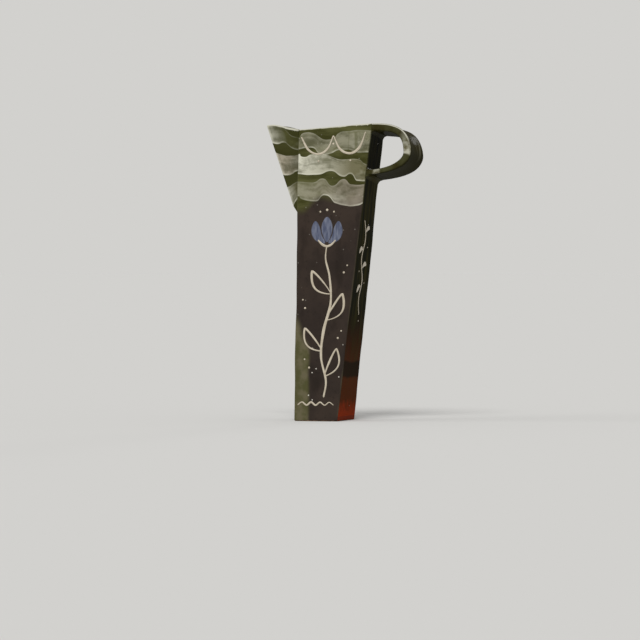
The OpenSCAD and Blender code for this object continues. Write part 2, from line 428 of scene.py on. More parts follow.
def cheek(name, y_side):
    """A spout cheek: half a V-shaped section carried from the chin to the pouring edge. Outside it
    leaves the wall in a small hollow curve, runs to the ridge and rounds off there, as
    sqrt(y^2 + r^2) - r does near zero; inside it comes back from the fold to the wall. The upper
    edge rises a little behind the tip, and the back cheek falls with the rim."""
    bend = np.linspace(0, 1, CHEEK_COLUMNS)
    inner = np.linspace(0, 1, TROUGH_COLUMNS)
    tall = TIP[2] - RIDGE_LOW[2]
    rise = np.linspace(0, 1 - LIP / tall, CHEEK_ROWS)
    w = np.concatenate([rise, 1 - LIP / tall * (1 - np.sin(LIP_TURN))])
    inset = lip_inset(CHEEK_ROWS)[:, None, None]
    joint, ridge, fold, left = (v[:, None, :] for v in cheek_lines(w))
    run = joint - ridge
    length = np.linalg.norm(run, axis=-1, keepdims=True)
    room = np.abs(face_y(joint[..., 2:])) - np.abs(joint[..., 1:2])
    smear = np.clip(0.6 * room, SMEAR_LEAST, SMEAR)
    reach = (run[..., 1:2] * (1 - smear / length))[..., 0] * (1 - bend) ** 1.4
    soft = np.minimum(RIDGE_R, 0.35 * np.abs(run[..., 1]))
    rounded = (np.hypot(reach, soft) - soft) / (np.hypot(run[..., 1], soft) - soft)
    outer = ridge + run * rounded[..., None]
    outer[..., 1] = reach
    t = np.linspace(0, 1, SMEAR_COLUMNS)[:-1][None, :, None]
    on_wall = joint + smear * np.array([0, -1.0, 0]) + np.array([SMEAR_SINK, 0, 0])
    hollow_joint = bow(on_wall, joint, outer[:, :1], t)
    trough = fold + run * left * inner[None, :, None]
    plane = np.cross(CREASE - TIP, RIDGE_LOW - TIP)
    plane = plane / np.linalg.norm(plane) * -np.sign(plane[1])
    face = plane * np.array([1, 1, 0])
    axis = np.array([1.0, 0, 0])
    apex = (1 - smooth(np.abs(reach), 0, TIP_ROUND))[..., None]
    fold_apex = (1 - smooth(inner, 0, 0.15))[None, :, None]
    swell = wobble(outer) * np.sin(np.pi * bend) * np.sin(np.pi * w)[:, None]
    free = smooth(bend, 0, 0.12)[None, :, None]
    outer = outer + plane * swell[..., None] + (axis * apex - face * (1 - apex)) * inset * free
    trough_in = face * (1 - fold_apex) - axis * fold_apex
    trough = trough + trough_in * inset * smooth(1 - inner, 0, 0.1)[None, :, None]
    rows = np.concatenate([hollow_joint, outer, trough], axis=1)
    flat = np.zeros(hollow_joint.shape[1])
    span = np.concatenate([flat, bend, 1 - inner * 0.8])
    lift = POUR_RISE * np.sin(np.pi * np.clip((span - 0.1) / 0.9, 0, 1)) ** 2
    rows[..., 2] += lift * smooth(w, 0.7, 1)[:, None]
    if y_side > 0:
        fall = (CREASE_BACK[2] - CREASE[2]) * np.clip(rows[..., 1] / CREASE[1], 0, 1)
        rows[..., 2] += fall * smooth(w, 0, 1)[:, None]
        rows[..., 1] *= -1
    inside = np.concatenate([flat, np.zeros(bend.size), np.ones(inner.size)])
    edge = np.concatenate([flat, smooth(bend, 0.9, 1), np.zeros(inner.size)])
    drop = (1 - w)[:, None] * tall
    return skin(name, rows, drop=drop, inside=inside, edge=edge, run=span)


def spout_fold(name):
    """The coil in the spout's fold: a three-sided section with a hollow face, carried up the fold.
    The hollow face is a curve of the second degree whose middle point is the fold itself."""
    w = np.linspace(0.16, 0.985, FOLD_ROWS)
    joint, ridge, fold, _ = cheek_lines(w)
    run = (joint - ridge) / np.linalg.norm(joint - ridge, axis=1, keepdims=True)
    size = FOLD_COIL * smooth(w, 0.12, 0.35) * (1 - smooth(w, 0.9, 1.02))
    far = fold + run * size[:, None]
    t = np.linspace(0, 1, FOLD_COLUMNS)[None, :, None]
    mirror = np.array([1, -1, 1])
    middle = fold[:, None]
    curve = bow(far[:, None], middle, (far * mirror)[:, None], t)
    behind = middle - np.array([FOLD_SINK, 0, 0])
    return skin(name, np.concatenate([curve, behind], axis=1))


# The handle

STRAP_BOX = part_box("handle_strap")
STRAP_TOP_Z = STRAP_BOX[1].z
KNUCKLE_X = STRAP_BOX[1].x
THICKNESS_KNOTS = 400
THICKNESS_BLUR = 30


def bezier(control, t):
    """A cubic curve on four control points: the Bernstein sum over t."""
    t = t[:, None]
    return (
        (1 - t) ** 3 * control[0]
        + 3 * t * (1 - t) ** 2 * control[1]
        + 3 * t**2 * (1 - t) * control[2]
        + t**3 * control[3]
    )


def strap_line():
    """Centre line of the strap in x and z: out of the rim, round the knuckle and back to the wall,
    as two cubic curves on shares of the reach and of the drop. Also its outward normals, its
    thickness, which is the list's straight course blurred, and the share of its length at each point."""
    first, last = STRAP_THICKNESS[0][1] * MM, STRAP_THICKNESS[-1][1] * MM
    low = STRAP_BOX[0].z + STRAP_BACK_FALL + last / 2
    high = STRAP_TOP_Z - first / 2
    t = np.linspace(0, 1, STRAP_ROWS)
    shares = np.concatenate([bezier(SHOULDER, t), bezier(LOWER_ARM, t)[1:]])
    z = high + (low - high) * shares[:, 1]
    root = right_x(high) + (right_x(low) - right_x(high)) * shares[:, 1]
    x = root + (KNUCKLE_X - first / 2 - root) * shares[:, 0]
    even = np.linspace(0, 1, 2 * STRAP_ROWS)
    line = evened(np.column_stack([x, z]), even.size)
    places, sizes = zip(*STRAP_THICKNESS)
    knots = np.linspace(0, 1, THICKNESS_KNOTS)
    rough = np.interp(knots, places, np.array(sizes) * MM)
    window = np.hanning(2 * THICKNESS_BLUR + 1)
    padded = np.pad(rough, THICKNESS_BLUR, mode="edge")
    soft = np.convolve(padded, window / window.sum(), mode="valid")
    return line, sideways(line), np.interp(even, knots, soft), even


def strap(name):
    """The handle: a broad rounded section carried along the centre line. Its front and back edges lie
    in the jug's faces, its outer face is slightly hollow between two lips, and the whole strap falls
    from the front edge to the back edge."""
    line, normal, thick, even = strap_line()
    flat = np.linspace(-1, 1, STRAP_COLUMNS)[1:-1]
    corners = []
    for k, (mid_y, mid_n) in enumerate(((1, 1), (-1, 1), (-1, -1), (1, -1))):
        turn = k * np.pi / 2 + np.linspace(0, np.pi / 2, STRAP_CORNER_STEPS)
        ones = np.ones(turn.size)
        corners.append((mid_y * ones, mid_n * ones, np.cos(turn), np.sin(turn)))
    zero, one = np.zeros_like(flat), np.ones_like(flat)
    over = (-flat, one, zero, one)
    under = (flat, -one, zero, -one)
    parts = [corners[0], over, corners[1], corners[2], under, corners[3]]
    side, level, round_y, round_n = (np.concatenate(v) for v in zip(*parts))
    radius = np.minimum(STRAP_EDGE_R, 0.42 * thick)[:, None]
    off = level * (thick[:, None] / 2 - radius) + radius * round_n
    hollow = STRAP_HOLLOW * (1 - side**2) * (level > 0) * np.sin(np.pi * even)[:, None] ** 0.6
    off = off - hollow
    z = line[:, 1:2] + normal[:, 1:2] * off
    x = line[:, 0:1] + normal[:, 0:1] * off
    half = -face_y(z)
    at_root = 1 - smooth(np.minimum(even, 1 - even), 0, 0.05)[:, None]
    y = side * (half - radius) + radius * round_y
    y = y * (1 - at_root * ROOT_SINK / half)
    z = z - STRAP_BACK_FALL * (y / half + 1) / 2
    x[0] = right_x(z[0]) - STRAP_SINK
    x[-1] = right_x(z[-1]) - STRAP_SINK
    rows = np.stack([x, y, z], axis=-1)
    away = np.stack([normal[:, 0:1] * round_n, round_y + 0 * off, normal[:, 1:2] * round_n], axis=-1)
    ends = np.sin(np.pi * even)[:, None, None]
    rows = rows + away * wobble(rows)[..., None] * np.minimum(4 * ends, 1)
    outer = np.clip(round_n, 0, 1)
    front, far = np.clip(-round_y, 0, 1), np.clip(round_y, 0, 1)
    lips = dict(lip=2 * front * outer, far_lip=2 * far * outer)
    return skin(name, rows, way=even[:, None], front=front, outer=outer, **lips)


def root_coil(name, z_at, up):
    """A coil pressed into the corner between the wall and the strap: a three-sided section with a
    hollow face, carried from the front face to the back one and falling as the strap does. Its ends
    are rounded by a quarter circle, and its size swells along it by a slow sine."""
    ends = 1 - 0.05 * np.linspace(0, 1, ROOT_END_ROWS) ** 2
    y_share = np.concatenate([-ends, np.linspace(-0.94, 0.94, ROOT_ROWS), ends[::-1]])[:, None]
    half = -face_y(z_at)
    from_end = np.clip((1 - np.abs(y_share)) * half, 0, ROOT_R)
    rounding = ROOT_R - np.sqrt(ROOT_R**2 - (ROOT_R - from_end) ** 2)
    reach = ROOT_COIL * (1 + 0.05 * np.sin(3 * y_share + z_at / MM)) - rounding
    t = np.linspace(0, 1, COIL_COLUMNS)[None, :]
    bury = ROOT_SINK * (2 * t - 1) ** 4
    wall_z = z_at + up * reach
    strap_x = right_x(z_at) + reach * 1.25
    x = bow(right_x(wall_z), right_x(z_at), strap_x, t) - bury * (t < 0.5)
    z = bow(wall_z, z_at, z_at, t) - up * bury * (t > 0.5)
    x = np.concatenate([x, 0 * y_share + right_x(z_at) - STRAP_SINK], axis=1)
    z = np.concatenate([z, 0 * y_share + z_at - 2 * up * ROOT_SINK], axis=1)
    y = y_share * (-face_y(z) - ROOT_SINK)
    z = z - STRAP_BACK_FALL * (y_share + 1) / 2
    rows = np.stack([x, y, z], axis=-1)
    rows[..., 0] += wobble(rows)
    front = 1 - smooth(y_share, -1, -1 + 2 * ROOT_R / half)
    return skin(name, rows, way=1.0, front=front, outer=0.0, lip=0.0, far_lip=0.0)


def corner_coil(name, x_side, y_side, top):
    """A coil in an inside corner of the walls: a three-sided section with a hollow face, carried up
    the corner from the floor and thinning out at its upper end."""
    z = np.linspace(FLOOR_Z, top, COIL_ROWS)[:, None]
    size = CORNER_COIL * (1 - 0.96 * smooth(z, top - CORNER_FADE, top))
    t = np.linspace(0, 1, COIL_COLUMNS)[None, :]
    wall_x = left_x(z) if x_side < 0 else right_x(z)
    at_x = wall_x - x_side * WALL
    at_y = y_side * (-face_y(z) - WALL)
    x = bow(at_x - x_side * size, at_x, at_x, t)
    y = bow(at_y, at_y, at_y - y_side * size, t)
    x = np.concatenate([x, at_x + x_side * CORNER_SINK], axis=1)
    y = np.concatenate([y, at_y + y_side * CORNER_SINK], axis=1)
    return skin(name, np.stack([x, y, np.broadcast_to(z, x.shape)], axis=-1))


# The trailed slip


def front_place(u, v):
    """A place on the front face: u across and v up, with the unevenness of the slab."""
    points = np.stack([u, face_y(v), v], axis=-1)
    points[..., 1] -= wobble(points)
    return points, np.array([0, -1.0, 0])


def side_place(u, v):
    """A place on the handle side: u from front to back and v up."""
    points = np.stack([right_x(v), u, v], axis=-1)
    points[..., 0] += wobble(points)
    return points, np.array([1.0, 0, 0])


def through(points, count):
    """A smooth way through a few points: a cubic between each two of them whose slopes are half the
    step between their neighbours, evened out along its length."""
    p = np.array(points, float) * MM
    p = np.vstack([2 * p[0] - p[1], p, 2 * p[-1] - p[-2]])
    t = np.linspace(0, 1, SPAN_STEPS, endpoint=False)[None, :, None]
    a, b, c, d = p[:-3, None], p[1:-2, None], p[2:-1, None], p[3:, None]
    square, cube = 2 * a - 5 * b + 4 * c - d, 3 * b - a - 3 * c + d
    way = 0.5 * (2 * b + (c - a) * t + square * t**2 + cube * t**3)
    return evened(np.vstack([way.reshape(-1, 2), p[-2]]), count)


def leaf_outline(base, tip, width):
    """A leaf's outline from its base along one side to the tip and back along the other: the half
    width is a power of the sine of the share of its length, and its middle bows a little."""
    base, axis = np.array(base) * MM, (np.array(tip) - np.array(base)) * MM
    across = np.array([-axis[1], axis[0]]) / np.linalg.norm(axis)
    up = np.linspace(0, 1, LEAF_STEPS)
    s = np.concatenate([up, up[-2::-1]])[:, None]
    side = np.concatenate([np.ones(LEAF_STEPS), -np.ones(LEAF_STEPS - 1)])[:, None]
    half = 0.5 * width * MM * np.sin(np.pi * s) ** 0.8
    belly = -np.sign(axis[0]) * 0.12 * np.linalg.norm(axis) * np.sin(np.pi * s)
    return base + axis * s + across * (side * half + belly)


def ribbon(name, way, half, height, fullness, columns, place):
    """Slip laid along a way on a face: half a turn carried along it, as wide to either side as half
    says. Over the turn the height is a power of the sine, and the foot sinks into the glaze."""
    turn = np.linspace(0, np.pi, columns)
    spot = way[:, None, :] + sideways(way)[:, None, :] * (half[:, None] * np.cos(turn))[..., None]
    points, out = place(spot[..., 0], spot[..., 1])
    lift = height[:, None] * np.sin(turn) ** fullness - SLIP_SINK
    return skin(name, points + out * lift[..., None], rise=np.sin(turn))


def trail(name, way, width, place, seed):
    """A trailed line of slip: a flattened half-round ribbon. It is fuller where the hand slowed, by
    two slow sines along the line, thins towards its ends and rounds off there."""
    count = len(way)
    length = np.linalg.norm(np.diff(way, axis=0), axis=1).sum()
    s = np.linspace(0, 1, count)
    reach = s * length
    pulse = 1 + 0.13 * np.sin(reach / LONG_PULSE + seed) + 0.07 * np.sin(reach / SHORT_PULSE + 2.3 * seed)
    from_end = np.clip(np.minimum(reach, length - reach) / (0.5 * width), 0, 1)
    cap = np.sqrt(np.clip(1 - (1 - from_end) ** 2, 0.01, 1))
    thin = 1 - 0.4 * smooth(1 - s, 0.7, 1) - 0.5 * smooth(s, 0.6, 1)
    half = 0.5 * width * pulse * cap * thin
    return ribbon(name, way, half, TRAIL_HEIGHT * cap, 0.8, TRAIL_COLUMNS, place)


def dots(name, spots, place):
    """Dots of slip in one piece: a low dome over each spot, as rings of points that shrink towards
    the top while the height grows as a quarter of an ellipse. spots gives u, v and the width."""
    spots = np.array(spots, float) * MM
    ring = np.linspace(0, 2 * np.pi, DOT_COLUMNS, endpoint=False)
    rise = np.linspace(0, np.pi / 2, DOT_RINGS)[:-1]
    around = np.stack([np.cos(ring), np.sin(ring)], axis=-1)
    shrink = 0.5 * spots[:, None, None, 2:] * np.cos(rise)[None, :, None, None]
    at = spots[:, None, None, :2] + shrink * around
    points, out = place(at[..., 0], at[..., 1])
    full_height = DOT_HEIGHT * np.minimum(spots[:, 2, None, None] / DOT_FULL, 1.2)
    lift = full_height * np.sin(rise)[None, :, None] - SLIP_SINK
    points = points + out * lift[..., None]
    top, _ = place(spots[:, 0], spots[:, 1])
    top = top + out * (lift[:, -1, :1] + DOT_CROWN)
    many, rings, round_count = points.shape[:3]
    index = np.arange(many * rings * round_count).reshape(many, rings, round_count)
    after = np.roll(index, -1, axis=2)
    quads = np.stack([index[:, :-1], after[:, :-1], after[:, 1:], index[:, 1:]], axis=-1)
    tips = np.broadcast_to(np.arange(many)[:, None] + index.size, index[:, -1].shape)
    fans = np.stack([index[:, -1], after[:, -1], tips], axis=-1)
    bottoms = index[:, 0, ::-1]
    faces = quads.reshape(-1, 4).tolist() + fans.reshape(-1, 3).tolist() + bottoms.tolist()
    domes = np.broadcast_to(np.sin(rise)[None, :, None], points.shape[:3]).ravel()
    rise_of = np.concatenate([domes, np.ones(many)])
    return solid(name, np.vstack([points.reshape(-1, 3), top]), faces, rise=rise_of)


def petal(name, way, width, place):
    """A washed petal: a low dome along its middle way. Its half width is a power of the sine of the
    share of its length, fuller towards the tip, and its height falls to nothing at the edge."""
    s = np.linspace(0, 1, len(way))
    half = 0.5 * width * np.sin(np.pi * s**1.25) ** 0.8 + PETAL_LEAST
    return ribbon(name, way, half, PETAL_HEIGHT * half / half.max(), 0.6, PETAL_COLUMNS, place)


# The glazes


def rgb(red, green, blue):
    """A colour as the eye reads it, 0 to 255, turned into the renderer's linear values."""
    value = np.array((red, green, blue)) / 255
    linear = np.where(value <= 0.04045, value / 12.92, ((value + 0.055) / 1.055) ** 2.4)
    return (*linear.tolist(), 1.0)


CHARCOAL = rgb(49, 42, 38)
CHARCOAL_DEEP = rgb(37, 32, 28)
CHARCOAL_WARM = rgb(59, 50, 44)
OLIVE = rgb(86, 86, 52)
OLIVE_DEEP = rgb(58, 58, 28)
OLIVE_GREY = rgb(112, 106, 80)
OLIVE_DIM = rgb(54, 54, 35)
OLIVE_BLACK = rgb(20, 21, 11)
OLIVE_MID = rgb(46, 42, 17)
BROWN_REFLECTION = rgb(80, 38, 12)
RED_REFLECTION = rgb(142, 48, 16)
PALE = rgb(158, 155, 134)
PALE_BRIGHT = rgb(204, 202, 184)
PALE_THIN = rgb(112, 108, 82)
PALE_ROSE = rgb(150, 141, 126)
# Painted highlight white: along the lip and along the top of the strap's front edge.
HIGHLIGHT_WHITE = rgb(192, 190, 174)
CREAM = rgb(193, 183, 163)
CREAM_SHADE = rgb(152, 138, 116)
BLUE = rgb(64, 71, 94)
BLUE_PALE = rgb(106, 111, 128)
INNER = rgb(70, 68, 42)
INNER_DEEP = rgb(40, 37, 23)
CLAY = rgb(150, 118, 92)
CLAY_DEEP = rgb(104, 78, 60)
SPECK = rgb(222, 216, 204)


class Amount:
    """A number that varies over a glaze: a node socket whose sums are written as usual."""

    def __init__(self, glaze, socket):
        self.glaze = glaze
        self.socket = socket

    def __add__(self, other):
        return self.glaze.maths("ADD", self, other)

    def __sub__(self, other):
        return self.glaze.maths("SUBTRACT", self, other)

    def __mul__(self, other):
        return self.glaze.maths("MULTIPLY", self, other)

    def __abs__(self):
        return self.glaze.maths("ABSOLUTE", self, 0.0)


class Glaze:
    """One procedural glaze: a node tree whose layers are worked out from the place on the jug."""

    def __init__(self, name):
        self.material = bpy.data.materials.new(name)
        self.material.use_nodes = True
        self.tree = self.material.node_tree
        self.shader = self.tree.nodes["Principled BSDF"]
        self.place = self.add("ShaderNodeTexCoord").outputs["Object"]
        axes = self.add("ShaderNodeSeparateXYZ", Vector=self.place).outputs
        self.x, self.y, self.z = (Amount(self, socket) for socket in axes)

    def put(self, socket, value):
        """Links a socket to another, or sets its value."""
        if isinstance(value, Amount):
            value = value.socket
        if isinstance(value, bpy.types.NodeSocket):
            self.tree.links.new(value, socket)
        else:
            socket.default_value = value

    def add(self, kind, settings=None, **inputs):
        """A node with its settings and its inputs by name."""
        node = self.tree.nodes.new(kind)
        for key, value in (settings or {}).items():
            setattr(node, key, value)
        for key, value in inputs.items():
            self.put(node.inputs[key.replace("_", " ")], value)
        return node

    def maths(self, operation, a, b):
        """One sum of two numbers."""
        node = self.add("ShaderNodeMath", {"operation": operation})
        self.put(node.inputs[0], a)
        self.put(node.inputs[1], b)
        return Amount(self, node.outputs[0])

    def ease(self, value, low, high, start=0.0, end=1.0, form="SMOOTHSTEP"):
        """A number that goes from start to end while a value goes from low to high."""
        node = self.add("ShaderNodeMapRange", {"interpolation_type": form})
        for socket, number in zip(node.inputs, (value, low, high, start, end)):
            self.put(socket, number)
        return Amount(self, node.outputs[0])

    def between(self, value, low, high, soft):
        """1 between low and high and 0 outside, with soft ends."""
        above = self.ease(value, low - soft, low + soft)
        return above * self.ease(value, high - soft, high + soft, 1.0, 0.0)

    def curve(self, value, points):
        """A smooth line through a few points, in millimetres: where the value is a point's first
        number, the line is at its second one."""
        points = np.array(points, float) * MM
        low, high = points.min(axis=0), points.max(axis=0)
        shares = (points - low) / np.maximum(high - low, MM)
        node = self.add("ShaderNodeFloatCurve")
        line = node.mapping.curves[0]
        line.points[0].location = shares[0]
        line.points[1].location = shares[-1]
        for share in shares[1:-1]:
            line.points.new(*share)
        node.mapping.update()
        self.put(node.inputs["Value"], self.ease(value, low[0], high[0], form="LINEAR"))
        return Amount(self, node.outputs[0]) * (high[1] - low[1]) + low[1]

    def mix(self, share, a, b):
        """Colour a, turning into colour b as the share grows."""
        node = self.add("ShaderNodeMix", {"data_type": "RGBA"})
        for index, value in ((0, share), (6, a), (7, b)):
            self.put(node.inputs[index], value)
        return node.outputs[2]

    def field(self, name):
        """A number that the piece's mesh carries."""
        return Amount(self, self.add("ShaderNodeAttribute", {"attribute_name": name}).outputs["Fac"])

    def noise(
        self, per_metre, stretch=(1, 1, 1), detail=3.0, rough=0.55, seed=0.0, place=None, turn=0.0
    ):
        """Noise with so many cells a metre, drawn out along an axis by a smaller stretch; a turn sets
        its cells askew, so that no rows of them show."""
        spot = self.add("ShaderNodeMapping", Vector=place or self.place, Scale=stretch)
        spot.inputs["Rotation"].default_value = (turn, turn * 0.6, turn * 1.3)
        spot.inputs["Location"].default_value = (seed, seed * 1.7, seed * 0.4)
        cells = self.add("ShaderNodeTexNoise", Vector=spot.outputs[0], Scale=per_metre)
        self.put(cells.inputs["Detail"], detail)
        self.put(cells.inputs["Roughness"], rough)
        return Amount(self, cells.outputs["Fac"])

    def cloud(self, per_metre, low=0.36, high=0.66, **kind):
        """Noise eased into patches of 0 and 1."""
        return self.ease(self.noise(per_metre, **kind), low, high)

    def wander(self, per_metre, reach, seed, level=0.12):
        """An uneven line: noise round the jug, up to the reach either way, that changes with the height
        only as much as level says."""
        return (self.noise(per_metre, (1, 1, level), detail=1.0, seed=seed) - 0.5) * (2 * reach)

    def specks(self, per_metre, size, share, seed=0.0):
        """Small round specks: the cells whose random value is under the share, inside a radius of
        so many cells."""
        spot = self.add("ShaderNodeMapping", Vector=self.place)
        spot.inputs["Location"].default_value = (seed, seed * 0.7, seed * 1.3)
        cells = self.add("ShaderNodeTexVoronoi", Vector=spot.outputs[0], Scale=per_metre)
        chance = self.add("ShaderNodeSeparateColor", Color=cells.outputs["Color"]).outputs[0]
        near = self.maths("LESS_THAN", cells.outputs["Distance"], size)
        return near * self.maths("LESS_THAN", chance, share)

    def done(self, colour, roughness, height, strength=0.25, specular=0.0, coat=0.0):
        """Puts colour, roughness, relief and gloss on the shader."""
        self.put(self.shader.inputs["Base Color"], colour)
        self.put(self.shader.inputs["Roughness"], roughness)
        self.shader.inputs["Specular IOR Level"].default_value = specular
        self.shader.inputs["Coat Weight"].default_value = coat
        self.shader.inputs["Coat Roughness"].default_value = COAT_ROUGH
        bump = self.add("ShaderNodeBump", Strength=strength, Distance=RELIEF, Height=height)
        self.put(self.shader.inputs["Normal"], bump.outputs[0])
        self.put(self.shader.inputs["Coat Normal"], bump.outputs[0])
        return self.material


RELIEF = 0.4 * MM
COAT_ROUGH = 0.12
WALL_COAT = 0.035
WALL_SATIN = (0.24, 0.4)

# Where the glazes change: from and to, and for a strip also how soft its ends are.
# Handle side: streaks; painted reflections: brown, how far it runs, a dark band, orange-red, how far it
# wanders.
SIDE_WANDER = 7 * MM
STREAKS_Z = (340 * MM, 420 * MM)
BROWN_REFLECTION_Z = (60 * MM, 200 * MM)
BROWN_REFLECTION_RUNS = 30 * MM
DARK_REFLECTION_Z = (74 * MM, 100 * MM, 3 * MM)
RED_REFLECTION_Z = (34 * MM, 68 * MM)
RED_REFLECTION_RAGGED = 50 * MM
# Spout side: olive and how far it runs.
SPOUT_OLIVE_Z = (150 * MM, 430 * MM)
SPOUT_RUNS = 60 * MM
# Faces: unevenness of the lines, olive and its fall from the spout's edge inwards, specks, and the depths
# behind the face where its own glaze ends and where the olive does.
DRIFT = 11 * MM
FACE_OLIVE_Z = (346 * MM, 366 * MM)
OLIVE_FALL = 19 * MM
OLIVE_FALL_X = (-28 * MM, 4 * MM)
SPECKS_Z = (60 * MM, 170 * MM)
FACE_DEPTH = (0.8 * MM, 2.6 * MM)
EDGE_OLIVE_DEPTH = (3 * MM, 6.5 * MM)
EDGE_OLIVE_Z = (340 * MM, 390 * MM)
# The patch at the foot, under a slanting line, and the height up to which the foot was wiped.
PATCH_SLANT = 2.6
PATCH_Z = (64 * MM, 106 * MM)
PATCH_X = (-17 * MM, -9 * MM)
WIPED_Z = (0.6 * MM, 1.4 * MM)
# The marks at the handle's end of the top band: strokes, and pits beside them.
MARKS_Z = (455 * MM, 486 * MM, 2 * MM)
STROKES_X = (52 * MM, 72 * MM, 4 * MM)
PITS_X = (70 * MM, 92 * MM, 3 * MM)
# The painted highlight along the lip: its reach on a face, a cheek and a side, and its unevenness.
FACE_RIM = 2 * MM
CHEEK_RIM = 2.6 * MM
SIDE_RIM = 1.6 * MM
RIM_WANDER = 1.2 * MM
RIM_RUNS = 1 * MM
# The strap: how far its strands drift along it, and the slanting painted glint over the knuckle.
STRAND_DRIFT = 4 * MM
PAINTED_GLINT_SLANT = 60 * MM
PAINTED_GLINT_Y = (45 * MM, 52 * MM, 3 * MM)


def charcoal(g):
    """Charcoal ground: slow cloudy change between deep and warm, with fine iron freckles."""
    colour = g.mix(g.cloud(16, detail=4), CHARCOAL, CHARCOAL_WARM)
    deep = g.cloud(34, 0.5, 0.72, stretch=(1, 1, 0.4), seed=9)
    colour = g.mix(deep * 0.6, colour, CHARCOAL_DEEP)
    return g.mix(g.cloud(240, 0.58, 0.72, detail=2, seed=3) * 0.4, colour, CHARCOAL_DEEP)


def olive(g):
    """Olive ground: thin and thick glaze in soft level streaks."""
    return g.mix(g.cloud(30, stretch=(0.5, 0.5, 1.6), detail=4, seed=5), OLIVE_DEEP, OLIVE)


def handle_side(g):
    """Handle side: olive-black with upright streaks above, made stronger upwards as painted glints; lower
    down painted reflections: brown, a dark band, and an orange-red flush at the foot."""
    runs = g.cloud(90, stretch=(1, 1, 0.1), detail=4, seed=71)
    colour = g.mix(runs, OLIVE_BLACK, OLIVE_MID)
    # Upright streaks of the glaze, made stronger towards the top as painted glints.
    streaks = g.cloud(150, 0.54, 0.66, stretch=(1, 1, 0.06), detail=2, seed=79)
    colour = g.mix(streaks * g.ease(g.z, *STREAKS_Z, 0.15, 0.55), colour, OLIVE_DIM)
    height = g.z + g.wander(26, SIDE_WANDER, 73, 0.5)
    # Painted reflection: brown over the lower wall, with ragged runs.
    colour = g.mix(g.ease(height + runs * BROWN_REFLECTION_RUNS, *BROWN_REFLECTION_Z, 0.9, 0.0), colour, BROWN_REFLECTION)
    # Painted reflection: a dark band low on the wall.
    colour = g.mix(g.between(height, *DARK_REFLECTION_Z) * 0.8, colour, OLIVE_BLACK)
    # Painted reflection: orange-red flush at the foot, with a ragged edge.
    reflection_edge = g.noise(90, detail=5, rough=0.65, seed=77, turn=0.4) * RED_REFLECTION_RAGGED
    colour = g.mix(g.ease(height + reflection_edge, *RED_REFLECTION_Z, 0.85, 0.0), colour, RED_REFLECTION)
    return g.mix(g.specks(120, 0.12, 0.03, 2.0) * 0.7, colour, SPECK)


def spout_side(g):
    """Spout side: charcoal turning olive upwards, with soft runs."""
    runs = g.cloud(60, stretch=(1, 1, 0.15), detail=4, seed=75)
    upper = g.ease(g.z + runs * SPOUT_RUNS, *SPOUT_OLIVE_Z)
    colour = g.mix(upper, charcoal(g), olive(g))
    colour = g.mix(runs * 0.3, colour, OLIVE_DEEP)
    return g.mix(g.specks(110, 0.12, 0.03, 5.0), colour, SPECK)


def inner_colour(g):
    """Olive-brown glaze inside the jug, darker in pools."""
    return g.mix(g.cloud(28, detail=4, seed=31), INNER_DEEP, INNER)


# Bands of slip: upper edge, lower edge, strength, the tones at the two ends, and how far along the last
# tone is reached. An edge's points are the place across and the height in millimetres: across is x on
# the faces, and on the cheeks the way from the ridge.
FACE_BANDS = [
    (
        [(-31, 403), (-6, 402), (10, 408), (26, 396), (46, 407), (60, 398), (98, 400)],
        [(-31, 378), (-20, 371), (-2, 369), (12, 379), (32, 366), (66, 361), (82, 366), (98, 374)],
        0.85,
        (PALE, PALE_ROSE),
        60,
    ),
    (
        [(-31, 450), (-23, 445), (-12, 449), (4, 450), (44, 440), (70, 441), (81, 434), (98, 427)],
        [(-31, 415), (2, 414), (24, 420), (46, 410), (58, 415), (70, 403), (98, 402)],
        1.4,
        (PALE_BRIGHT, PALE_THIN),
        60,
    ),
    (
        [(-31, 477), (-16, 487), (18, 474), (36, 484), (47, 488), (98, 489)],
        [(-31, 457), (-12, 459), (0, 451), (12, 447), (24, 449), (47, 456), (73, 451), (98, 451)],
        0.8,
        (PALE, PALE),
        98,
    ),
]
CHEEK_BANDS = [
    (
        [(0, 395), (5, 397), (10, 401), (17, 405), (39, 408)],
        [(0, 360), (9, 374), (16, 382), (39, 390)],
        0.95,
        (PALE_BRIGHT, PALE_THIN),
        11,
    ),
    (
        [(0, 455), (9, 450), (17, 448), (28, 449), (39, 450)],
        [(0, 418), (6, 414), (12, 416), (18, 420), (29, 423), (39, 425)],
        1.12,
        (CREAM, OLIVE_DEEP),
        36,
    ),
    (
        [(0, 502), (15, 500), (22, 491), (27, 481), (32, 478), (39, 476)],
        [(0, 470), (4, 468), (8, 467), (15, 469), (19, 464), (22, 459), (28, 456), (39, 454)],
        0.88,
        (PALE_BRIGHT, OLIVE),
        20,
    ),
]


# The brush: streaks lie as if every band were so wide. A band's edges, low and high: how far they
# wander, where they fade in, and where the bead along them, and the ridge's pale, fades out; the ridge's
# pale is thick slip with a painted highlight.
BRUSH_WIDTH = 36 * MM
LOW_WANDER = 1.6 * MM
HIGH_WANDER = 1.8 * MM
LOW_EDGE = (0.0, 1.0 * MM)
HIGH_EDGE = (0.0, 1.5 * MM)
LOW_BEAD = (1.2 * MM, 4.2 * MM)
HIGH_BEAD = (0.8 * MM, 3 * MM)
RIDGE_BEAD_HIGHLIGHT = (1 * MM, 5 * MM)


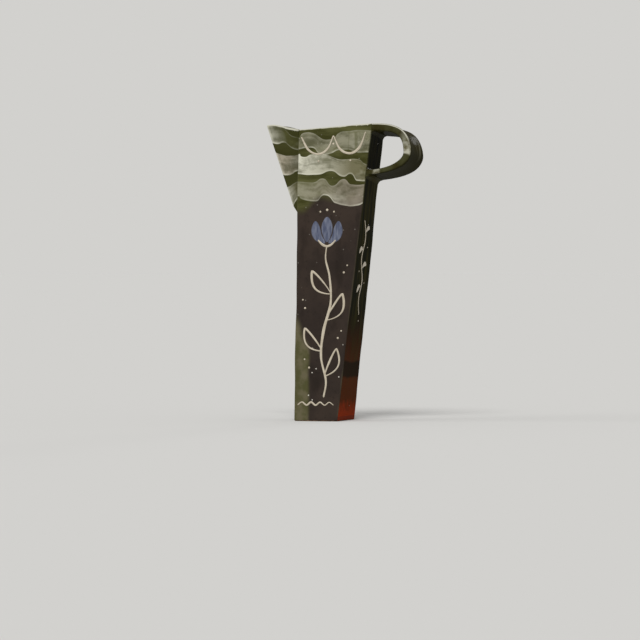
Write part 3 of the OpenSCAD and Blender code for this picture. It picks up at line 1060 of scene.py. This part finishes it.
def slip_over(g, ground, across, bands, shown=1.0, ridge=0.0, thick=(0.3, 0.3)):
    """Brushed slip over a ground, band by band: streaks that run between the band's edges as the brush
    did, and a fine grain, let the ground through, and here and there the slip lies thick and pale in a
    bead along an edge; along the ridge the pale is thick slip with a painted highlight. thick is how much
    the bead hides at the two ends. Returns the colour and the slip's height."""
    broad = g.noise(34, (0.6, 0.6, 1), detail=2, seed=17)
    grain = g.noise(130, detail=4, rough=0.6, seed=29, turn=0.7)
    patch = g.cloud(26, 0.5, 0.68, stretch=(0.6, 0.6, 1.2), detail=4, seed=21)
    broken = g.cloud(30, 0.4, 0.62, detail=2, seed=19) * 0.6 + 0.4
    height = 0.0
    for number, (upper, lower, strength, (first, last), reach) in enumerate(bands):
        above = g.z - g.curve(across, lower) + g.wander(40, LOW_WANDER, 5.3 * number + 1)
        below = g.curve(across, upper) - g.z + g.wander(34, HIGH_WANDER, 4.7 * number + 2)
        inside = g.ease(above, *LOW_EDGE) * g.ease(below, *HIGH_EDGE) * shown
        level = g.maths("DIVIDE", above, above + below) * BRUSH_WIDTH
        stroke = g.add("ShaderNodeCombineXYZ", X=across, Y=number * BRUSH_WIDTH, Z=level).outputs[0]
        streak = g.noise(190, (0.11, 1, 1), seed=2, place=stroke, turn=0.5)
        body = g.ease(streak * 0.45 + broad * 0.9 + grain * 0.4, 0.66, 1.08)
        low_bead = g.ease(above, *LOW_BEAD, 1.0, 0.0)
        bead = g.maths("MAXIMUM", low_bead, g.ease(below, *HIGH_BEAD, 0.6, 0.0)) * broken
        bead = g.maths("MAXIMUM", bead, ridge)
        way = g.ease(across, upper[0][0] * MM, reach * MM, form="LINEAR")
        colour = g.mix(patch * 0.4, g.mix(way, first, last), PALE_BRIGHT)
        colour = g.mix(bead * 0.75, colour, PALE_BRIGHT)
        hiding = bead * g.ease(way, 0.0, 1.0, *thick, "LINEAR")
        share = inside * (body * 0.62 + hiding + 0.24) * strength
        ground = g.mix(share, ground, colour)
        height = inside * (body + bead) + height
    return ground, height


def brush_marks(g, colour):
    """Marks near the handle's end of the top band: upright strokes, and pits beside them."""
    level = g.between(g.z, *MARKS_Z)
    strokes = g.cloud(150, 0.46, 0.6, stretch=(1, 1, 0.05), seed=23)
    colour = g.mix(strokes * level * g.between(g.x, *STROKES_X) * 0.55, colour, OLIVE)
    pits = g.cloud(520, 0.56, 0.66, detail=2, seed=25) * g.between(g.x, *PITS_X)
    return g.mix(pits * level * 0.5, colour, OLIVE_DEEP)


def rim_highlight(g, colour, reach):
    """Painted highlight along the lip: pale white where light catches it, with short runs under it."""
    runs = g.cloud(230, 0.6, 0.7, stretch=(1, 1, 0.1))
    drop = g.field("drop") + g.wander(70, RIM_WANDER, 13, 1.0) - runs * RIM_RUNS
    return g.mix(g.ease(drop, reach * 0.6, reach, 0.95, 0.0), colour, HIGHLIGHT_WHITE)


def pale_edges(g, colour, strength):
    """Lighter olive-grey along the rounded upright edges and the ridge, in broken stretches."""
    edge_spots = g.cloud(46, 0.42, 0.62, stretch=(1, 1, 0.5), detail=4, seed=17)
    return g.mix(g.field("edge") * edge_spots * strength, colour, OLIVE_GREY)


def relief(g, fine=0.4):
    """Orange-peel of a fired glaze: slow swells with a fine grain on them."""
    return g.noise(70, detail=2, seed=41) + g.noise(420, detail=2, seed=43) * fine


def satin(g, low, high):
    """Roughness that drifts between two values."""
    return g.ease(g.noise(38, seed=61), 0.3, 0.7, low, high, "LINEAR")


def drifting(g):
    """Slow unevenness of the lines between the glazes, the same on the faces and on the foot."""
    return g.wander(20, DRIFT, 51, 1.0)


def foot_patch(g, colour, drift):
    """The olive patch low on the spout's edge: under a slanting line, left of a soft one."""
    under = g.ease(g.x * PATCH_SLANT + g.z + drift * 2, *PATCH_Z, 1.0, 0.0)
    left = g.ease(g.x + drift * 0.4, *PATCH_X, 0.7, 0.0)
    return g.mix(under * left, colour, g.mix(g.cloud(50, detail=4, seed=55), OLIVE, OLIVE_GREY))


def round_edge(g, colour, on_face, upper=0.0):
    """The side walls' glazes past the upright edges; upper is how far olive hides them there."""
    beyond = g.mix(g.ease(g.x, 0.0, MM), spout_side(g), handle_side(g))
    return g.mix(on_face, g.mix(upper, beyond, OLIVE), colour)


def wall_done(g, colour, height):
    """Finishes a wall: the inner glaze on its inside, satin with a thin coat of gloss."""
    colour = g.mix(g.field("inside"), colour, inner_colour(g))
    return g.done(colour, satin(g, *WALL_SATIN), height, coat=WALL_COAT)


def face_glaze():
    """Front and back: charcoal below, olive with brushed slip above, the sides' glazes past the edges."""
    g = Glaze("charcoal_face_glaze")
    drift = drifting(g)
    upper = g.z + drift - g.ease(g.x, *OLIVE_FALL_X) * OLIVE_FALL
    colour = g.mix(g.ease(upper, *FACE_OLIVE_Z), charcoal(g), olive(g))
    colour = foot_patch(g, colour, drift)
    depth = g.field("depth") + drift * 0.1
    on_face = g.ease(depth, *FACE_DEPTH, 1.0, 0.0)
    colour, slip = slip_over(g, colour, g.x, FACE_BANDS, on_face)
    colour = brush_marks(g, colour)
    low = g.ease(g.z, *SPECKS_Z, 1.0, 0.15)
    colour = g.mix(g.specks(150, 0.17, 0.12) * low * 0.8, colour, SPECK)
    over_edge = g.ease(depth, *EDGE_OLIVE_DEPTH, 0.8, 0.0) * g.ease(g.z + drift, *EDGE_OLIVE_Z)
    colour = round_edge(g, colour, on_face, over_edge)
    colour = pale_edges(g, colour, 0.2)
    # Painted highlight along the lip.
    colour = rim_highlight(g, colour, FACE_RIM)
    return wall_done(g, colour, relief(g) + slip * 0.7)


def cheek_glaze():
    """Spout cheeks: olive with brushed slip, thick on the ridge with a painted highlight there, a painted
    shade by the crease, and a painted highlight along the pouring edge.
    """
    g = Glaze("brushed_cheek_glaze")
    across = abs(g.y)
    # Pale on the ridge: thick slip and a painted highlight.
    ridge = g.ease(across, *RIDGE_BEAD_HIGHLIGHT, 0.85, 0.0)
    ground = g.mix(0.75, olive(g), OLIVE_DEEP)
    colour, slip = slip_over(g, ground, across, CHEEK_BANDS, ridge=ridge, thick=(0.6, 0.3))
    # Painted shade: darker olive where the cheek leaves the wall, by the crease.
    colour = g.mix(g.ease(g.field("run"), 0.0, 0.2, 0.4, 0.0), colour, OLIVE_DEEP)
    colour = pale_edges(g, colour, 0.5)
    # Painted highlight along the lip and the pouring edge.
    colour = rim_highlight(g, colour, CHEEK_RIM)
    return wall_done(g, colour, relief(g) + slip * 0.7)


def side_glaze(name, colour_of):
    """A side wall: its own colour, a painted highlight over the lip, the inner glaze inside."""
    g = Glaze(name)
    return wall_done(g, rim_highlight(g, colour_of(g), SIDE_RIM), relief(g))


def handle_glaze():
    """Handle: glossy olive, darker on the outer face, and darkest on the lower arm's underside by a
    painted shade. The front edge is pale round the bend. Painted highlights: white along the top of the
    front edge, pale at the lower root, smears and a slanting streak on the outer face of the bend, the
    knuckle's far lip."""
    g = Glaze("olive_handle_glaze")
    way = g.field("way")
    patch = g.cloud(44, detail=4, seed=81)
    colour = g.mix(patch, OLIVE_MID, OLIVE_DIM)
    outer = g.ease(g.field("outer"), 0.2, 0.8)
    colour = g.mix(outer * 0.8, colour, OLIVE_MID)
    # Painted shade: the outer face darkens along the lower arm, on its underside.
    colour = g.mix(outer * g.ease(way, 0.42, 0.56, 0.0, 0.5), colour, OLIVE_BLACK)
    uneven = g.wander(70, 0.3, 83, 1.0)
    front = g.ease(g.field("front") + uneven, 0.4, 0.75)
    colour = g.mix(front * (patch * 0.3 + 0.06), colour, OLIVE)
    along_bend = way + uneven * 0.05
    bend = g.ease(along_bend, 0.26, 0.53, 0.0, 0.72) * g.ease(along_bend, 0.515, 0.54, 1.0, 0.0)
    bend_tone = g.mix(g.cloud(110, detail=4, seed=87), OLIVE_GREY, PALE_BRIGHT)
    # Painted highlight: a pale glint on the front edge at the lower root.
    root = g.between(way + uneven * 0.08, 0.86, 0.93, 0.015) * 0.5
    colour = g.mix(front * (bend + root), colour, bend_tone)
    strands = g.add("ShaderNodeCombineXYZ", X=g.y, Y=way * STRAND_DRIFT).outputs[0]
    pulled = g.noise(210, detail=4, seed=85, place=strands)
    # Painted highlight: pale grey smears on the outer face of the bend.
    smear = g.ease(pulled, 0.5, 0.64)
    highlight_zone = g.ease(g.field("outer"), 0.5, 1.0) * g.between(way + uneven * 0.06, 0.27, 0.5, 0.04)
    colour = g.mix(highlight_zone * smear * 0.2, colour, PALE)
    # Painted glint: a slanting pale streak over the knuckle.
    streak = g.between(g.y + way * PAINTED_GLINT_SLANT, *PAINTED_GLINT_Y) * g.ease(pulled, 0.36, 0.6)
    colour = g.mix(streak * g.between(along_bend, 0.38, 0.53, 0.05) * 0.5, colour, PALE)
    # Painted highlight: pale on the far lip of the knuckle.
    far_lip = g.ease(g.field("far_lip"), 0.2, 0.8) * g.between(along_bend, 0.28, 0.55, 0.03)
    colour = g.mix(far_lip * 0.6, colour, PALE_BRIGHT)
    # Painted highlight: white along the top of the front edge.
    top_highlight = g.ease(g.field("lip") + uneven * 0.5, 0.6, 0.9) * g.ease(way, 0.34, 0.46, 0.9, 0.0)
    colour = g.mix(top_highlight, colour, HIGHLIGHT_WHITE)
    return g.done(colour, satin(g, 0.16, 0.28), relief(g, 0.25) + pulled * 3, 0.3, coat=0.055)


def inside_glaze():
    """Inside of the jug: olive-brown glaze, a little uneven."""
    g = Glaze("inner_glaze")
    return g.done(inner_colour(g), satin(g, 0.25, 0.42), relief(g), specular=0.3)


def foot_glaze():
    """Base: glazed like the walls on its sides, bare sandy clay where it was wiped underneath."""
    g = Glaze("foot_clay")
    sand = g.cloud(300, detail=4, seed=95)
    wiped = g.ease(g.z + g.wander(120, MM, 97, 1.0), *WIPED_Z, 1.0, 0.0)
    glazed = foot_patch(g, charcoal(g), drifting(g))
    glazed = round_edge(g, glazed, g.ease(g.field("depth"), *FACE_DEPTH, 1.0, 0.0))
    colour = g.mix(wiped, glazed, g.mix(sand, CLAY_DEEP, CLAY))
    return g.done(colour, wiped * 0.5 + 0.3, relief(g) + sand * wiped * 0.8, coat=WALL_COAT)


def trail_slip():
    """Trailed slip: cream, thinner and browner at its edges."""
    g = Glaze("cream_trail_slip")
    colour = g.mix(g.cloud(120, seed=101) * 0.4, CREAM, CREAM_SHADE)
    colour = g.mix(g.ease(g.field("rise"), 0.1, 0.75, 0.6, 0.0), colour, CREAM_SHADE)
    return g.done(colour, 0.32, relief(g, 0.3), 0.2, specular=0.4)


def petal_wash():
    """Blue wash on the petals: brush streaks along them, thin at the edges."""
    g = Glaze("blue_petal_wash")
    streak = g.cloud(260, 0.34, 0.68, stretch=(1, 1, 0.18), detail=4, seed=105)
    colour = g.mix(streak, BLUE, BLUE_PALE)
    colour = g.mix(g.ease(g.field("rise"), 0.1, 0.6, 0.6, 0.0), colour, CHARCOAL_WARM)
    return g.done(colour, 0.34, relief(g) + streak, specular=0.4)


# The jug's pieces

FACE = face_glaze()
CHEEKS = cheek_glaze()
HANDLE_SIDE = side_glaze("dark_olive_glaze", handle_side)
SPOUT_SIDE = side_glaze("charcoal_side_glaze", spout_side)
HANDLE = handle_glaze()
INSIDE = inside_glaze()
FOOT = foot_glaze()
CREAM_SLIP = trail_slip()
WASH = petal_wash()


def rim_top(place, offset, outside):
    """Upper edge of a plain side slab: the rim."""
    return rim_over(place)


dress(floor_slab("foot_slab"), FOOT, "foot_clay", "base_slab")
dress(face_slab("front_wall", -1), FACE, "charcoal_glaze", "front_slab")
dress(face_slab("back_wall", 1), FACE, "charcoal_glaze", "back_slab")
dress(side_slab("spout_side_wall", -1, notch), SPOUT_SIDE, "charcoal_glaze", "spout_side_slab")
dress(side_slab("handle_side_wall", 1, rim_top), HANDLE_SIDE, "dark_olive_glaze", "handle_side_slab")
dress(cheek("front_cheek", -1), CHEEKS, "brushed_slip", "spout_front_cheek")
dress(cheek("back_cheek", 1), CHEEKS, "brushed_slip", "spout_back_cheek")
dress(spout_fold("spout_fold"), INSIDE, "inner_glaze", "spout_ridge_coil")
dress(strap("handle"), HANDLE, "olive_glaze", "handle_strap")

HIGH_ROOT_Z = STRAP_TOP_Z - STRAP_THICKNESS[0][1] * MM
LOW_ROOT_Z = STRAP_BOX[0].z + STRAP_BACK_FALL
LOW_ROOT_TOP_Z = LOW_ROOT_Z + STRAP_THICKNESS[-1][1] * MM
ROOTS = [("top", HIGH_ROOT_Z, -1), ("foot_upper", LOW_ROOT_TOP_Z, 1), ("foot_lower", LOW_ROOT_Z, -1)]
for root, root_z, up in ROOTS:
    coil = root_coil(f"handle_{root}_root", root_z, up)
    dress(coil, HANDLE, "olive_glaze", f"handle_{root}_coil")
for y_side, face_name in ((-1, "front"), (1, "back")):
    for x_side, side_name in ((-1, "spout"), (1, "handle")):
        node = f"corner_coil_{face_name}_{side_name}"
        coil = corner_coil(f"inner_{node}", x_side, y_side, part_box(node)[1].z - CORNER_BELOW)
        dress(coil, INSIDE, "inner_glaze", node)
for side_name in ("front", "back", "spout", "handle"):
    paint(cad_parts[f"floor_coil_{side_name}"], INSIDE)

# The trailed flower design: places in millimetres across and up the face or the handle side

STEM = [(14, 40), (18, 68), (9, 108), (13, 152), (25, 198), (23, 242), (16, 272), (18, 296)]
LEAVES = [
    ((16, 76), (36, 122), 17),
    ((10, 118), (-20, 156), 17),
    ((18, 170), (46, 214), 18),
    ((25, 214), (-8, 252), 18),
]
PETALS = [
    ([(18, 297), (1, 312), (-3, 338)], 17),
    ([(18, 297), (35, 312), (39, 338)], 17),
    ([(18, 297), (18, 318), (18, 345)], 20),
]
CUP = [(2, 305), (10, 297), (18, 294), (26, 297), (34, 305)]
SWAGS = [
    [(-29, 478), (-16, 456), (2, 449), (18, 458), (28, 480)],
    [(28, 480), (40, 457), (58, 450), (74, 460), (85, 486)],
]
FOOT_WAVE = [(-32 + 8 * step, 27 + 5 * (step % 2)) for step in range(9)]
TENDRIL = [(-16, 338), (-2, 306), (-12, 272), (4, 238), (-4, 206), (6, 178)]
TENDRIL_LEAVES = [
    ([(-5, 316), (6, 324), (18, 324)], 8),
    ([(-7, 288), (-18, 290), (-27, 282)], 8),
    ([(-4, 256), (8, 264), (20, 262)], 8),
    ([(1, 226), (-10, 226), (-20, 216)], 8),
]
FRONT_DOTS = [
    (-12, 90, 4), (-20, 104, 3), (38, 140, 4), (44, 152, 3), (-20, 190, 4), (-24, 204, 3),
    (48, 250, 4), (54, 262, 3), (18, 355, 4.5), (6, 352, 3.4), (30, 352, 3.4),
    (2, 437, 3.6), (58, 438, 3.6), (28, 466, 4),
]
SIDE_DOTS = [(14, 292, 2.6), (-18, 252, 2.6), (16, 232, 2.4), (8, 168, 2.4)]

# Single lines: their way, how many points it gets, their width, their face and the seed of their swell
LINES = {
    "slip_stem": (STEM, 240, 4.6 * MM, front_place, 0.7),
    "slip_cup": (CUP, 50, 3.8 * MM, front_place, 0.2),
    "slip_foot_wave": (FOOT_WAVE, 140, 3 * MM, front_place, 1.1),
    "slip_tendril": (TENDRIL, 100, 2.6 * MM, side_place, 0.4),
}
LEAF_LINE = 3.6 * MM
SWAG_LINE = 4 * MM

trails = []
for name, (way, count, width, place, seed) in LINES.items():
    trails.append(trail(name, through(way, count), width, place, seed))
trails.append(dots("slip_dots", FRONT_DOTS, front_place))
trails.append(dots("slip_side_dots", SIDE_DOTS, side_place))
for number, leaf in enumerate(LEAVES, 1):
    outline = leaf_outline(*leaf)
    trails.append(trail(f"slip_leaf_{number}", outline, LEAF_LINE, front_place, 1.3 * number))
for number, swag in enumerate(SWAGS, 1):
    trails.append(trail(f"slip_swag_{number}", through(swag, 80), SWAG_LINE, front_place, 2.1 * number))
for number, (way, width) in enumerate(TENDRIL_LEAVES, 1):
    trails.append(petal(f"slip_side_leaf_{number}", through(way, 24), width * MM, side_place))
for piece in trails:
    dress(piece, CREAM_SLIP, "brushed_slip")
for number, (way, width) in enumerate(PETALS, 1):
    piece = petal(f"washed_petal_{number}", through(way, 40), width * MM, front_place)
    dress(piece, WASH, "brushed_slip")

# Floor, light and camera

FLOOR_GREY = rgb(210, 209, 206)
FLOOR_HALF = 60.0
# Lamps: azimuth and elevation in degrees, strength, and the angle that they fill
LAMPS = {
    "key_lamp": ((8, 48), 2.0, 24),
    "fill_lamp": ((-60, 30), 0.5, 40),
    "back_lamp": ((174, 15), 0.24, 12),
}
AZIMUTH = math.radians(18)
LAMP_AWAY = 3.0
CAMERA_AWAY = 7.1
CAMERA_Z = 0.276
FRAME_PX = 640
FOCAL_PX = 4200
HORIZON_PX = 257
AXIS_PX = 324.4
SENSOR_MM = 36
CLIP_END = 200


def studio_floor():
    """A plain pale floor: one large square."""
    h = FLOOR_HALF
    mesh = bpy.data.meshes.new("studio_floor")
    mesh.from_pydata([(-h, -h, 0), (h, -h, 0), (h, h, 0), (-h, h, 0)], [], [(0, 1, 2, 3)])
    floor = bpy.data.objects.new("studio_floor", mesh)
    bpy.context.collection.objects.link(floor)
    grey = bpy.data.materials.new("studio_floor_paint")
    grey.use_nodes = True
    shader = grey.node_tree.nodes["Principled BSDF"]
    shader.inputs["Base Color"].default_value = FLOOR_GREY
    shader.inputs["Roughness"].default_value = 1.0
    shader.inputs["Specular IOR Level"].default_value = 0.0
    mesh.materials.append(grey)


def studio_world():
    """A pale surrounding: as bright as the floor to the camera, in gloss and through glass. On all else
    it sheds what the lamps leave, so that the floor has the brightness that its colour says."""
    sky = 1.0
    for side, strength, _ in LAMPS.values():
        sky -= strength * math.sin(math.radians(side[1])) / math.pi
    world = bpy.data.worlds.new("studio_world")
    world.use_nodes = True
    tree = world.node_tree
    ray = tree.nodes.new("ShaderNodeLightPath")
    seen = 0.0
    for kind in ("Is Camera Ray", "Is Glossy Ray", "Is Transmission Ray"):
        either = tree.nodes.new("ShaderNodeMath")
        either.operation = "MAXIMUM"
        tree.links.new(ray.outputs[kind], either.inputs[0])
        if seen:
            tree.links.new(seen, either.inputs[1])
        else:
            either.inputs[1].default_value = 0.0
        seen = either.outputs[0]
    colour = tree.nodes.new("ShaderNodeMix")
    colour.data_type = "RGBA"
    colour.inputs[6].default_value = (sky, sky, sky, 1.0)
    colour.inputs[7].default_value = FLOOR_GREY
    tree.links.new(seen, colour.inputs[0])
    tree.links.new(colour.outputs[2], tree.nodes["Background"].inputs["Color"])
    tree.nodes["Background"].inputs["Strength"].default_value = 1.0
    bpy.context.scene.world = world


def soft_sun(name, side, strength, spread):
    """A soft lamp far away: side is its azimuth and elevation, spread the angle that it fills."""
    light = bpy.data.lights.new(name, "SUN")
    light.energy = strength
    light.angle = math.radians(spread)
    azimuth, elevation = (math.radians(angle) for angle in side)
    level = math.cos(elevation)
    towards = Vector((math.sin(azimuth) * level, -math.cos(azimuth) * level, math.sin(elevation)))
    holder = bpy.data.objects.new(name, light)
    holder.location = towards * LAMP_AWAY
    holder.rotation_euler = (-towards).to_track_quat("-Z", "Y").to_euler()
    bpy.context.collection.objects.link(holder)


def photo_camera():
    """The camera: round the foot's axis by the azimuth, turned and tipped by so many pixels of its
    focal length that the axis and the horizon fall where the picture has them."""
    lens = bpy.data.cameras.new("photo_camera")
    lens.sensor_width = SENSOR_MM
    lens.lens = FOCAL_PX / FRAME_PX * SENSOR_MM
    lens.clip_end = CLIP_END
    camera = bpy.data.objects.new("photo_camera", lens)
    back = Vector((math.sin(AZIMUTH), -math.cos(AZIMUTH), 0))
    right = Vector((math.cos(AZIMUTH), math.sin(AZIMUTH), 0))
    camera.location = back * CAMERA_AWAY + Vector((0, 0, CAMERA_Z))
    aside = (AXIS_PX - FRAME_PX / 2) / FOCAL_PX
    down = (FRAME_PX / 2 - HORIZON_PX) / FOCAL_PX
    look = -back - right * aside - Vector((0, 0, down))
    camera.rotation_euler = look.to_track_quat("-Z", "Y").to_euler()
    bpy.context.collection.objects.link(camera)
    bpy.context.scene.camera = camera


studio_floor()
studio_world()
for lamp, setting in LAMPS.items():
    soft_sun(lamp, *setting)
photo_camera()
bpy.context.scene.view_settings.view_transform = "Standard"
